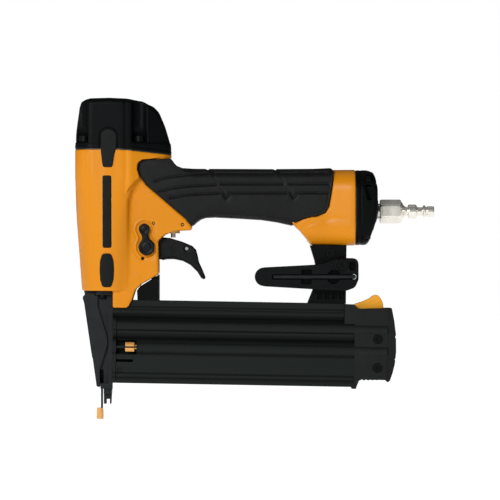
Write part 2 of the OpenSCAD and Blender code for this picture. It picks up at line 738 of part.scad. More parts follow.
module magazine_rail() color("dimgray")
    difference() {
        in_magazine() union() {
            along_x(0, rail_len) union() {
                translate([-11, -rail_h]) square([22, rail_h]);
                for (s = [-1, 1])
                    translate([s * 9.6, -8.5]) circle(2.6);
                // core that carries one wall of the brad channel
                translate([0.9, -58.6]) square([3.6, 45]);
            }
            along_x(0, 2.6) union() {
                translate([0.9, -mag_h]) square([10, mag_h - 10]);
                translate([-12.6, -mag_h]) square([6.6, mag_h - 12]);
            }
        }
        // grooves: top recess, contact arm, brad heads, guide rod, screws
        in_magazine() {
            box(38, 142, -6, 6, -2.5, 1);
            box(40, rail_len + 1, 6.6, 8, -3, 1);
            box(40, rail_len + 1, -8, -6.6, -3, 1);
            box(-1, rail_len + 1, -0.9, 0.91, -30, -rail_h + 3);
            box(-1, 2.7, -5.9, 0.9, -62, -rail_h - 1);
            rod_x(-rib_y, rib_c_z, 1 + fit, -1, 5);
        }
        box(-112, -77.4, -10.3, -7.2, -90, -78);
        box(-120, -109.2, -10.3, -7.2, -150, -78);
        box(-83, -77.4, -10.3, 3, -83, -78);
        for (x = rail_screw_xs()) {
            rod_z(x, rail_screw_y, 1.5 + fit, -98, -78);
            rod_z(x, rail_screw_y, 2.9, -110, mag_top(x) - 5);
        }
    }

module rail_screws() color("gray")
    for (x = rail_screw_xs())
        translate([x, rail_screw_y, mag_top(x) - 5]) rotate([180, 0, 0]) socket_screw(1.5, 2.6, 2.2, 11);

module guide_rod() color("silver")
    in_magazine() rod_x(-rib_y, rib_c_z, 1, 0.3, 165);

module cover_section(solid = false) {
    difference() {
        union() {
            for (s = [-1, 1], z = [rib_b_z, rib_c_z])
                translate([s * rib_y, z]) circle(rib_r);
            translate([-12, -mag_h]) square([24, mag_h - rail_h - gap]);
            translate([-12.6, -55]) square([25.2, 14]);
            translate([-12.6, -mag_h]) square([25.2, 2.4]);
        }
        if (!solid) {
            translate([-9.4, -mag_h + 2.6]) square([18.8, mag_h]);
            translate([-20, -rail_h - gap]) square([40, 10]);
        }
        // shadow line between the ribs
        for (s = [-1, 1])
            translate([s * 12.4 - 1, -30.2]) square([2, 5.4]);
    }
    if (!solid)
        translate([-4.3, -mag_h + 1]) square([3.4, mag_h - 21]);
}

module magazine_cover() color("black")
    in_magazine() difference() {
        along_x(3, cover_len) cover_section();
        // bore of the guide tube, the window at its mouth and the witness slots
        rod_x(-rib_y, rib_c_z, 1.8, 0, cover_len + 1);
        box(0, 18, -16, -9, -40.2, -29.6);
        box(0, 15.5, -16, -9, -46.2, -44.2);
        box(4, 7.5, -16, -11.5, -55, -50.5);
    }

module rod_bushing() color("orange")
    in_magazine() difference() {
        union() {
            rod_x(-rib_y, rib_c_z, 3.7, 9.4, 16.4);
            rod_x(-rib_y, rib_c_z, 1.75, 16, 25);
        }
        rod_x(-rib_y, rib_c_z, 1 + fit, 0, 30);
        box(8, 18, -20, -13, rib_c_z - 0.55, rib_c_z + 0.55);
    }

function block_outline() = [[173.3, -0.4], [181, -0.6], [183.2, -3.4], [block_end, -2.6], [block_end, -56.6],
    [203, -56.4], [185, -57], [183.6, -60.5], [182.6, -63.4], [179.6, -63.4], [179.3, -62.2],
    [cover_len + 0.05, -62.1], [cover_len + 0.05, -rail_h - gap + 0.05], [173.3, -rail_h - gap + 0.05]];

module end_block_half(s) {
    y0 = s > 0 ? 0.05 : -13;
    y1 = s > 0 ? 13 : -0.05;
    in_magazine() difference() {
        union() {
            slab(block_outline(), y0, y1);
            for (z = [rib_b_z, rib_c_z])
                rod_x(s * rib_y, z, rib_r, cover_len + 0.05, block_end);
        }
        // space for the latch, and a hollow that keeps the block light
        box(173, 204, -5, 5, -14, 2);
        box(184, 203, -9.5, 9.5, -54, -21);
        for (p = block_screws)
            rod_y(p, screw_r + fit, -20, 20);
        if (s < 0)
            for (p = block_screws)
                rod_y(p, 3.7, -20, -11);
        rod_y(latch_pivot, 1.2 + fit, -20, 20);
        // finger serrations
        for (x = [187 : 3.2 : 202])
            rod_y([x, -57.4], 1.1, -20, 20);
    }
    // bosses that the screws pass through
    in_magazine() difference() {
        for (p = block_screws)
            rod_y(p, 3.6, s > 0 ? 0.05 : -9.6, s > 0 ? 9.6 : -0.05);
        for (p = block_screws)
            rod_y(p, screw_r + fit, -20, 20);
    }
}

module end_block_left() color("black") end_block_half(-1);

module end_block_right() color("black") end_block_half(1);

module end_block_screws() color("gray")
    in_magazine() for (p = block_screws)
        translate([p[0], -11, p[1]]) rotate([90, 0, 0]) socket_screw(screw_r, 3.4, 1.8, 21);

module end_bumper() color("dimgray")
    in_magazine() difference() {
        slab([[block_end + 0.05, -2.6], [208.6, -2.6], [210.6, -12], [212, -22], [212.4, -35],
            [211.6, -44], [210, -51], [208, -57], [206.5, -58], [block_end + 0.05, -57.6]], -12.6, 12.6);
        for (z = [-24, -41])
            rod_y([212.8, z], 1.3, -20, 20);
    }

module latch_lever() color("orange")
    in_magazine() difference() {
        slab([[176, -3.6], [181.4, 0.2], [187, 2.2], [191.8, 4.4], [194.5, 6.6], [196.6, 7.4],
            [198.6, 6.8], [200.6, 4.4], [202, 1.4], [202.6, -1.2], [202.6, -3.2], [190, -4],
            [180, -9], [176.2, -9]], -4.5, 4.5);
        rod_y(latch_pivot, 1.2 + fit, -20, 20);
    }

module latch_pin() color("silver")
    in_magazine() rod_y(latch_pivot, 1.2, -13.1, 13.1);

module latch_spring() color("silver")
    in_magazine() translate([194, 0, -14]) coil(2.4, 0.4, 9.6, 4);

module nail_pusher() color("silver")
    in_magazine() union() {
        box(4, 22, -0.6, 0.6, -58, -16.2);
        box(4, 22, -8.6, 0.6, -18.4, -16.2);
        box(4, 22, -8.6, -4.8, -30, -16.2);
    }

module pusher_spring() color("silver")
    in_magazine() translate([22.3, -6.7, -24]) rotate([0, 90, 0]) coil(1.5, 0.3, 150, 20, 8, 4);

housing();
grip_sleeve();
upper_side_pads();
side_strips();
lower_side_pads();
head_cap();
cap_gasket();
cap_screws();
cylinder_sleeve();
sleeve_seals();
bumper();
head_valve();
head_valve_spring();
piston();
piston_seal();
driver_blade();
nose_body();
nose_screws();
nose_door();
door_pin();
door_latch();
latch_rivet();
contact_arm();
no_mar_tip();
contact_spring();
arm_guard();
trigger();
trigger_pin();
trip_lever();
selector_shaft();
selector_knob();
valve_body();
valve_stem();
valve_spring();
roll_pins();
rear_gasket();
rear_cap();
rear_cap_screws();
exhaust_silencer();
inlet_nipple();
air_plug();
tail_bracket();
bracket_screw();
belt_hook();
hook_screw();
hex_wrench();
magazine_rail();
rail_screws();
guide_rod();
magazine_cover();
rod_bushing();
end_block_left();
end_block_right();
end_block_screws();
end_bumper();
latch_lever();
latch_pin();
latch_spring();
nail_pusher();
pusher_spring();
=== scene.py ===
"""Pneumatic brad nailer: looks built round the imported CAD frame.

Shapes are stated in millimetres in the part's frame; the meshes are in metres."""
import json
import math

import bpy
import numpy as np
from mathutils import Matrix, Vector


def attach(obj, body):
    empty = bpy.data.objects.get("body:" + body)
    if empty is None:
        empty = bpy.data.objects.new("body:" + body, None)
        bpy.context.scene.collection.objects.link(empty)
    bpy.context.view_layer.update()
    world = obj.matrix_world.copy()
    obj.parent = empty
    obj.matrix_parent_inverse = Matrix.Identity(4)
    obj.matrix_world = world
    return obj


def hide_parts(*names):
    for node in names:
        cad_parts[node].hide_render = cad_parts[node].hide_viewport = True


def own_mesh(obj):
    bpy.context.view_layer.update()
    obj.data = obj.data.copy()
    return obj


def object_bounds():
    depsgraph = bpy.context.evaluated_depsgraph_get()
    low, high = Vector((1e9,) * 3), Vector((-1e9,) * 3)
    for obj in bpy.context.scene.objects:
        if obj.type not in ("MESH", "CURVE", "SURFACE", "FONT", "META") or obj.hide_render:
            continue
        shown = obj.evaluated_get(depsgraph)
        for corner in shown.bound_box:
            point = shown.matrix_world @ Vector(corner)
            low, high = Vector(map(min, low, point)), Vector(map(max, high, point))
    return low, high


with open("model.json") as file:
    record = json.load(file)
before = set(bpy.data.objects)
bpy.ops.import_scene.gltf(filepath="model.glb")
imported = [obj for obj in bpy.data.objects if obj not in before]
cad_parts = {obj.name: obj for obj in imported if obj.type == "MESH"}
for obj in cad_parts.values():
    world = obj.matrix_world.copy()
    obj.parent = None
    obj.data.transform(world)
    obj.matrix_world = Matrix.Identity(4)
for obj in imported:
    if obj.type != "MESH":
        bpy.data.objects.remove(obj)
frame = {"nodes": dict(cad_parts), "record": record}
nodes = frame["nodes"]
cad_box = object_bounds()
MM = 0.001
DRIVER_X = -114.0            # axis of the barrel, piston and driver
HEAD_HALF = 24.5             # half the width of the barrel's square head
BARREL_END = -72.5           # lower end of the round barrel
TAIL_Z = -10.25              # middle height of the tail bell and the rear cap
TRIGGER_PIN = (-84.7, -39.9)
VALVE_X = -65.3              # axis of the trigger valve
VALVE_BORE = 6.1
PAD_ARCH = (-112.7, 42.4)    # centre of the round top of the upper side pads
PLUG_Z = -13.0               # axis of the air plug
ROD = (-10.5, -35.0)         # guide rod, in magazine coordinates
HOOK_PIVOT = (61.5, -53.1)
WRENCH_Z = -62.0             # axis of the wrench stored in the belt hook
TILT = math.radians(1.0)     # slope of the magazine
MAG = (-109.8, -79.4)        # front end of the magazine's top edge


# ---------------------------------------------------------------- distance fields

class Field:
    """A grid of points that distance functions are sampled on."""

    def __init__(self, lo, hi, step):
        self.lo, self.step = np.array(lo, float), step
        counts = np.ceil((np.array(hi, float) - self.lo) / step).astype(int) + 1
        x, y, z = (np.float32(self.lo[i] + step * np.arange(counts[i])) for i in range(3))
        self.x, self.y, self.z = x[:, None, None], y[None, :, None], z[None, None, :]
        self.shape = tuple(counts)


def both(a, b, r=0.0):
    """Intersection whose edge is rounded to radius r, a number or one per point."""
    if np.isscalar(r) and r <= 0:
        return np.maximum(a, b)
    return np.minimum(np.maximum(a, b), -r) + np.hypot(np.maximum(a + r, 0), np.maximum(b + r, 0))


def either(a, b, r=0.0):
    """Union with a fillet of radius r in the inner corner."""
    return -both(-a, -b, r)


def cut(a, b, r=0.0):
    """What is left of a, with the edge of the cut rounded to radius r."""
    return both(a, -b, r)


def band(v, low, high):
    """Distance to the slab between two values of v."""
    return np.abs(v - (low + high) / 2) - (high - low) / 2


def poly(u, v, points):
    """Distance to a closed outline."""
    best, inside = None, None
    for (ax, ay), (bx, by) in zip(points, points[1:] + points[:1]):
        ex, ey = bx - ax, by - ay
        wx, wy = u - ax, v - ay
        t = np.clip((wx * ex + wy * ey) / (ex * ex + ey * ey), 0, 1)
        d = (wx - ex * t) ** 2 + (wy - ey * t) ** 2
        up = (v >= ay) & (v < by) & (ex * wy > ey * wx)
        down = (v < ay) & (v >= by) & (ex * wy < ey * wx)
        best = d if best is None else np.minimum(best, d)
        inside = (up | down) if inside is None else inside ^ (up | down)
    return np.where(inside, -1, 1) * np.sqrt(best)


def line(u, v, points):
    """Distance to an open line of points."""
    best = None
    for (ax, ay), (bx, by) in zip(points, points[1:]):
        ex, ey = bx - ax, by - ay
        wx, wy = u - ax, v - ay
        t = np.clip((wx * ex + wy * ey) / (ex * ex + ey * ey), 0, 1)
        d = (wx - ex * t) ** 2 + (wy - ey * t) ** 2
        best = d if best is None else np.minimum(best, d)
    return np.sqrt(best)


def soft(points, r, steps=4):
    """The outline with every corner rounded to about radius r."""
    out = []
    n = len(points)
    for i in range(n):
        p, a, b = Vector(points[i]), Vector(points[i - 1]), Vector(points[(i + 1) % n])
        da, db = a - p, b - p
        angle = da.angle(db)
        reach = min(r / max(math.tan(angle / 2), 0.05), 0.45 * da.length, 0.45 * db.length)
        s, e = p + da.normalized() * reach, p + db.normalized() * reach
        for k in range(steps + 1):
            t = k / steps
            out.append(tuple(s * (1 - t) ** 2 + p * 2 * t * (1 - t) + e * t * t))
    return out


def circle(u, v, centre, r=0.0):
    """Distance to a circle, or to its centre without a radius."""
    return np.hypot(u - centre[0], v - centre[1]) - r


def rrect(u, v, half_u, half_v, r):
    """Distance to a rounded rectangle centred on 0; half_u may vary over the grid."""
    a, b = np.abs(u) - half_u + r, np.abs(v) - half_v + r
    return np.hypot(np.maximum(a, 0), np.maximum(b, 0)) + np.minimum(np.maximum(a, b), 0) - r


def ridge(d, height, width):
    """Soft ridge round the line where d is 0; added to a distance field it makes a groove."""
    return height * np.exp(-(d / width) ** 2)


def smooth(v, low, high):
    """Eased step from 0 at low to 1 at high."""
    t = np.clip((v - low) / (high - low), 0, 1)
    return t * t * (3 - 2 * t)


def surface(f, values):
    """Naive surface nets: points and quads of the zero level of values."""
    inside = values < 0
    nx, ny, nz = (n - 1 for n in inside.shape)
    count = sum(inside[i:i + nx, j:j + ny, k:k + nz].astype(np.int8)
                for i in (0, 1) for j in (0, 1) for k in (0, 1))
    mixed = (count > 0) & (count < 8)
    index = np.full(mixed.shape, -1, np.int64)
    index[mixed] = np.arange(int(mixed.sum()))
    cell = np.argwhere(mixed)
    total, crossings = np.zeros((len(cell), 3)), np.zeros(len(cell))
    for axis in range(3):
        others = [k for k in range(3) if k != axis]
        for p in (0, 1):
            for q in (0, 1):
                a = np.zeros(3, int)
                a[others[0]], a[others[1]] = p, q
                b = a.copy()
                b[axis] = 1
                ca, cb = cell + a, cell + b
                fa, fb = values[tuple(ca.T)], values[tuple(cb.T)]
                hit = (fa < 0) != (fb < 0)
                t = np.where(hit, fa / np.where(hit, fa - fb, 1), 0)
                total += np.where(hit[:, None], a + t[:, None] * (b - a), 0)
                crossings += hit
    points = f.lo + f.step * (cell + total / crossings[:, None])
    quads = []
    for axis in range(3):
        low = [slice(None)] * 3
        high = [slice(None)] * 3
        low[axis], high[axis] = slice(0, -1), slice(1, None)
        ia, ib = inside[tuple(low)], inside[tuple(high)]
        edge = np.argwhere(ia != ib)
        p, q = [(1, 2), (2, 0), (0, 1)][axis]
        limit = np.array(mixed.shape)
        keep = (edge[:, p] > 0) & (edge[:, q] > 0) & (edge[:, p] < limit[p]) & (edge[:, q] < limit[q])
        edge = edge[keep]
        start_inside = ia[tuple(edge.T)]
        around = []
        for dp, dq in ((0, 0), (-1, 0), (-1, -1), (0, -1)):
            c = edge.copy()
            c[:, p] += dp
            c[:, q] += dq
            around.append(index[tuple(c.T)])
        around = np.stack(around, 1)
        around[~start_inside] = around[~start_inside][:, ::-1]
        quads.append(around)
    return points, np.concatenate(quads)


def add_mesh(name, points, faces, body, material, replaced=()):
    """Adds a mesh of quads, rides it on its body and says which CAD nodes it replaces."""
    mesh = bpy.data.meshes.new(name)
    faces = np.asarray(faces, np.int32)
    mesh.vertices.add(len(points))
    mesh.vertices.foreach_set("co", (np.asarray(points, float) * MM).astype(np.float32).ravel())
    mesh.loops.add(faces.size)
    mesh.loops.foreach_set("vertex_index", faces.ravel())
    mesh.polygons.add(len(faces))
    mesh.polygons.foreach_set("loop_start", np.arange(0, faces.size, 4, dtype=np.int32))
    mesh.polygons.foreach_set("use_smooth", np.ones(len(faces), bool))
    mesh.update(calc_edges=True)
    mesh.validate()
    obj = bpy.data.objects.new(name, mesh)
    bpy.context.scene.collection.objects.link(obj)
    mesh.materials.append(material)
    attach(obj, body)
    if replaced:
        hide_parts(*replaced)
    return obj


def sculpt(name, f, values, body, material, replaced=(), place=None):
    """Adds the surface of a distance field; place moves its points into the part's frame."""
    points, quads = surface(f, np.broadcast_to(values, f.shape))
    if place:
        points = place(points)
    return add_mesh(name, points, quads, body, material, replaced)


# ---------------------------------------------------------------- materials

NOISE_SPAN = (0.3, 0.7)      # the part of a noise texture's range that is used


def material(name, colour, rough, metallic=0.0, specular=0.5, tint=0.06, tint_scale=35.0, rough_vary=0.06,
             rough_scale=160.0, bumps=(), stretch=(1, 1, 1), sheen=0.0):
    """Procedural finish: tint and roughness drift, plus layers of bump.

    Bumps are (scale per metre, height in mm)."""
    m = bpy.data.materials.new(name)
    m.use_nodes = True
    tree = m.node_tree
    shader = tree.nodes["Principled BSDF"]
    shader.inputs["Metallic"].default_value = metallic
    shader.inputs["Specular IOR Level"].default_value = specular
    shader.inputs["Sheen Weight"].default_value = sheen
    place = tree.nodes.new("ShaderNodeTexCoord")
    mapping = tree.nodes.new("ShaderNodeMapping")
    mapping.inputs["Scale"].default_value = stretch
    tree.links.new(place.outputs["Object"], mapping.inputs["Vector"])

    def noise(scale, detail=3.0):
        n = tree.nodes.new("ShaderNodeTexNoise")
        n.inputs["Scale"].default_value = scale
        n.inputs["Detail"].default_value = detail
        tree.links.new(mapping.outputs["Vector"], n.inputs["Vector"])
        return n

    def ramp(source, low, high, a, b):
        r = tree.nodes.new("ShaderNodeValToRGB")
        r.color_ramp.elements[0].position, r.color_ramp.elements[1].position = low, high
        r.color_ramp.elements[0].color, r.color_ramp.elements[1].color = a, b
        tree.links.new(source, r.inputs["Fac"])
        return r

    dark = tuple(c * (1 - tint) for c in colour) + (1,)
    light = tuple(min(1, c * (1 + tint)) for c in colour) + (1,)
    drift = noise(tint_scale, 5.0)
    shades = ramp(drift.outputs["Fac"], *NOISE_SPAN, dark, light)
    tree.links.new(shades.outputs["Color"], shader.inputs["Base Color"])
    spread = noise(rough_scale, 4.0)
    span = tree.nodes.new("ShaderNodeMapRange")
    span.inputs["From Min"].default_value, span.inputs["From Max"].default_value = NOISE_SPAN
    span.inputs["To Min"].default_value = max(0.02, rough - rough_vary)
    span.inputs["To Max"].default_value = min(1.0, rough + rough_vary)
    tree.links.new(spread.outputs["Fac"], span.inputs["Value"])
    tree.links.new(span.outputs["Result"], shader.inputs["Roughness"])
    last = None
    for scale, height in bumps:
        grain = noise(scale, 2.0)
        bump = tree.nodes.new("ShaderNodeBump")
        bump.inputs["Distance"].default_value = height * MM
        bump.inputs["Strength"].default_value = 1.0
        tree.links.new(grain.outputs["Fac"], bump.inputs["Height"])
        if last:
            tree.links.new(last.outputs["Normal"], bump.inputs["Normal"])
        last = bump
    if last:
        tree.links.new(last.outputs["Normal"], shader.inputs["Normal"])
    return m


PAINT = material("cast_paint", (0.68, 0.238, 0.005), 0.34, specular=0.19, tint=0.03, tint_scale=22,
                 rough_vary=0.05, bumps=((420, 0.05), (1800, 0.012)))
RUBBER = material("grip_rubber", (0.0064, 0.0070, 0.0067), 0.52, specular=0.14, tint=0.16, tint_scale=60,
                  rough_vary=0.07, bumps=((2600, 0.035), (700, 0.03)))
PAD = material("pad_rubber", (0.0076, 0.0086, 0.0086), 0.55, specular=0.09, tint=0.15, tint_scale=60,
               bumps=((2600, 0.03),))
PLASTIC = material("black_moulding", (0.0024, 0.0031, 0.0033), 0.42, specular=0.05, tint=0.12, tint_scale=40,
                   rough_vary=0.06, bumps=((2200, 0.02), (500, 0.02)))
ANODISED = material("black_extrusion", (0.0085, 0.0100, 0.0094), 0.45, specular=0.18, tint=0.2, tint_scale=55,
                    rough_vary=0.08, rough_scale=90, bumps=((900, 0.008),), stretch=(0.06, 1, 1))
OXIDE = material("black_oxide", (0.0115, 0.0138, 0.0145), 0.48, specular=0.13, tint=0.25, tint_scale=80,
                 rough_vary=0.08, rough_scale=240, bumps=((1200, 0.004),))
SCREW = material("black_screw", (0.0024, 0.0027, 0.0028), 0.42, specular=0.1, tint=0.2, tint_scale=200,
                 bumps=((1500, 0.01),))
GLOSS = material("black_handling", (0.0026, 0.0032, 0.0034), 0.34, specular=0.16, tint=0.12, tint_scale=40,
                 bumps=((2200, 0.015),))
AMBER = material("amber_moulding", (0.98, 0.43, 0.028), 0.42, specular=0.2, tint=0.04, tint_scale=60,
                 bumps=((1500, 0.02),))
TAN = material("tan_urethane", (0.74, 0.37, 0.095), 0.34, specular=0.45, tint=0.08, tint_scale=90,
               bumps=((1500, 0.02),))
COATED = material("black_coated", (0.0022, 0.0028, 0.0031), 0.42, specular=0.07, tint=0.15, tint_scale=60,
                  bumps=((1800, 0.015),))
STEEL = material("ground_steel", (0.52, 0.51, 0.49), 0.26, metallic=1.0, tint=0.08, tint_scale=120,
                 rough_vary=0.08, bumps=((2500, 0.006),), stretch=(1, 1, 0.08))
NICKEL = material("nickel_plate", (0.84, 0.81, 0.74), 0.28, metallic=0.8, tint=0.06, tint_scale=150,
                  rough_vary=0.07, bumps=((1800, 0.008),), stretch=(1, 0.15, 0.15))
SPRING = material("spring_wire", (0.33, 0.32, 0.31), 0.32, metallic=1.0, tint=0.1, bumps=((3000, 0.006),))
SEAL = material("seal_rubber", (0.01, 0.01, 0.01), 0.5, tint=0.1, bumps=((1200, 0.02),))
TURNED = material("turned_aluminium", (0.66, 0.66, 0.67), 0.28, metallic=1.0, tint=0.05,
                  bumps=((2000, 0.01),), stretch=(0.1, 0.1, 1))
URETHANE = material("urethane", (0.42, 0.24, 0.07), 0.45, tint=0.08, bumps=((900, 0.02),))
ACETAL = material("acetal", (0.72, 0.70, 0.62), 0.35, tint=0.03, bumps=((900, 0.01),))
BRASS = material("turned_brass", (0.62, 0.42, 0.15), 0.28, metallic=1.0, tint=0.07, bumps=((2000, 0.008),))
FELT = material("pressed_felt", (0.22, 0.22, 0.21), 0.95, specular=0.2, tint=0.2, tint_scale=500, sheen=0.3,
                bumps=((1800, 0.15), (600, 0.1)))
BLOCK = material("block_moulding", (0.0125, 0.0142, 0.0136), 0.46, specular=0.08, tint=0.12, tint_scale=60,
                 bumps=((2200, 0.02),))


def shade_along(m, direction, stops):
    """Darkens channels and recesses by a colour ramp along a direction.

    It stands in for the deep shade that they lie in. Stops are (distance from the
    part frame's origin in mm, factor)."""
    tree = m.node_tree
    shader = tree.nodes["Principled BSDF"]
    place = tree.nodes.new("ShaderNodeTexCoord")
    dot = tree.nodes.new("ShaderNodeVectorMath")
    dot.operation = "DOT_PRODUCT"
    dot.inputs[1].default_value = tuple(c / MM for c in direction)
    tree.links.new(place.outputs["Object"], dot.inputs[0])
    low, high = stops[0][0], stops[-1][0]
    span = tree.nodes.new("ShaderNodeMapRange")
    span.inputs["From Min"].default_value, span.inputs["From Max"].default_value = low, high
    tree.links.new(dot.outputs["Value"], span.inputs["Value"])
    ramp = tree.nodes.new("ShaderNodeValToRGB")
    ramp.color_ramp.elements.remove(ramp.color_ramp.elements[1])
    elements = ramp.color_ramp.elements
    for k, (at, value) in enumerate(stops):
        place_at = (at - low) / (high - low)
        spot = elements.new(place_at) if k else elements[0]
        spot.position = place_at
        spot.color = (value,) * 3 + (1,)
    tree.links.new(span.outputs["Result"], ramp.inputs["Fac"])
    mix = tree.nodes.new("ShaderNodeMix")
    mix.data_type, mix.blend_type = "RGBA", "MULTIPLY"
    mix.inputs["Factor"].default_value = 1.0
    tree.links.new(shader.inputs["Base Color"].links[0].from_socket, mix.inputs[6])
    tree.links.new(ramp.outputs["Color"], mix.inputs[7])
    tree.links.new(mix.outputs[2], shader.inputs["Base Color"])
    return m


MAG_ALONG = (math.cos(TILT), 0, -math.sin(TILT))
MAG_UP = (math.sin(TILT), 0, math.cos(TILT))
MAG_TOP = MAG[0] * math.sin(TILT) + MAG[1] * math.cos(TILT)
# painted shade on the magazine's side: the colour is darkened in its channels and hollows, where shade falls
FACE, LINE, HOLLOW = 0.77, 0.27, 0.06     # factors on flat faces, in narrow grooves and in wide hollows
# channels along the magazine's side that are darkened with painted shade: (depth of the middle below the top
# edge, half width, factor)
SHADED_CHANNELS = [(57.8, 1.1, LINE), (54.4, 1.0, LINE), (39.5, 1.3, LINE), (28.3, 4.6, HOLLOW),
            (22.3, 1.1, LINE), (12.8, 4.2, HOLLOW), (4.8, 0.9, LINE)]
# black finish of the magazine's rail and cover, with painted shade in its channels
PROFILE_SHADE_PAINTED = shade_along(
    material("black_profile_painted_shade", (0.0190, 0.0226, 0.0218), 0.48, specular=0.02, tint=0.1, tint_scale=55,
             rough_vary=0.06, rough_scale=90, bumps=((900, 0.008),), stretch=(0.06, 1, 1)),
    MAG_UP, [(MAG_TOP - depth + edge * half, FACE if edge else floor)
             for depth, half, floor in SHADED_CHANNELS for edge in (-1, 0, 1)])
# painted shade in the hook's recesses, darker the deeper they lie: (depth across the tool, factor)
HOOK_SHADE_PAINTED = shade_along(
    material("black_hook_painted_shade", (0.0052, 0.0062, 0.0065), 0.45, specular=0.05, tint=0.12, tint_scale=60,
             bumps=((1800, 0.015),)),
    (0, 1, 0), [(-22, 1.0), (-21.2, 1.0), (-20.3, 0.1), (-18, 0.04), (-9, 0.3)])

BY_SLOT = {"body_paint": PAINT, "grip_rubber": RUBBER, "black_plastic": PLASTIC, "amber_plastic": AMBER,
           "black_aluminium": ANODISED, "black_steel": OXIDE, "black_screws": SCREW, "bright_steel": STEEL,
           "nickel": NICKEL, "spring_steel": SPRING, "seal_rubber": SEAL, "bare_aluminium": TURNED,
           "urethane": URETHANE, "acetal": ACETAL, "brass": BRASS, "filter_felt": FELT}


# ---------------------------------------------------------------- shared outlines

def barrel_radius(z):
    """Radius of the tapered barrel."""
    return np.interp(z, [BARREL_END, -60, -50, -32.5, -14, 4, 33], [19.9, 20.8, 21.5, 22.7, 24.0, 24.5, 24.5])


def seam(x):
    """Height of the joint between body and head cap."""
    return np.interp(x, [-106, -100, -60], [33, 32.6, 28.4])


HEAD_PLAN = [(-100, -24), (-96, -24), (-71, -13), (-66.6, -8), (-66.6, 8), (-71, 13), (-96, 24), (-100, 24)]


def head_plan(f):
    """The head cap seen from above."""
    square = rrect(f.x - DRIVER_X, f.y, HEAD_HALF, HEAD_HALF, 14)
    return either(square, poly(f.x, f.y, soft(HEAD_PLAN, 6)), 1)


def barrel_field(f):
    """Round barrel that turns square, with the tapered shelf under the head cap."""
    x, y, z = f.x, f.y, f.z
    r = np.hypot(x - DRIVER_X, y)
    barrel = both(r - barrel_radius(z), BARREL_END - z, 1.0)
    square = rrect(x - DRIVER_X, y, HEAD_HALF, HEAD_HALF, 15)
    fade = r - np.interp(z, [BARREL_END, -50, -44, -16, 4, 22, 40], [15, 19.5, 21.4, 24.6, 27.2, 30.8, 31])
    head = both(both(square, fade, 3), -60 - z)
    plan = poly(x, y, soft(HEAD_PLAN, 6))
    under = np.interp(x, [-112, -104, -100.5, -98, -94, -90, -86, -80, -66],
                      [-34, -13, -2, 3.5, 8.5, 12.2, 15.5, 20, 27])
    shelf = both(both(plan, under - z, 1.4), z - 34)
    flank = x - np.interp(z, [-80, -5, 3, 10, 16, 22], [-98.4, -98.4, -95.5, -90, -82, -60])
    return either(both(either(barrel, head, 0.7), flank, 1.8), shelf, 0.7)


def local(x, z):
    """From magazine coordinates (back along it, up from its top edge) to x and z in the part's frame."""
    return (MAG[0] + x * math.cos(TILT) + z * math.sin(TILT),
            MAG[1] - x * math.sin(TILT) + z * math.cos(TILT))


def in_magazine(points):
    """Moves points from magazine coordinates to the part's frame."""
    x, z = local(points[:, 0], points[:, 2])
    return np.stack([x, points[:, 1], z], 1)


# ---------------------------------------------------------------- cast body

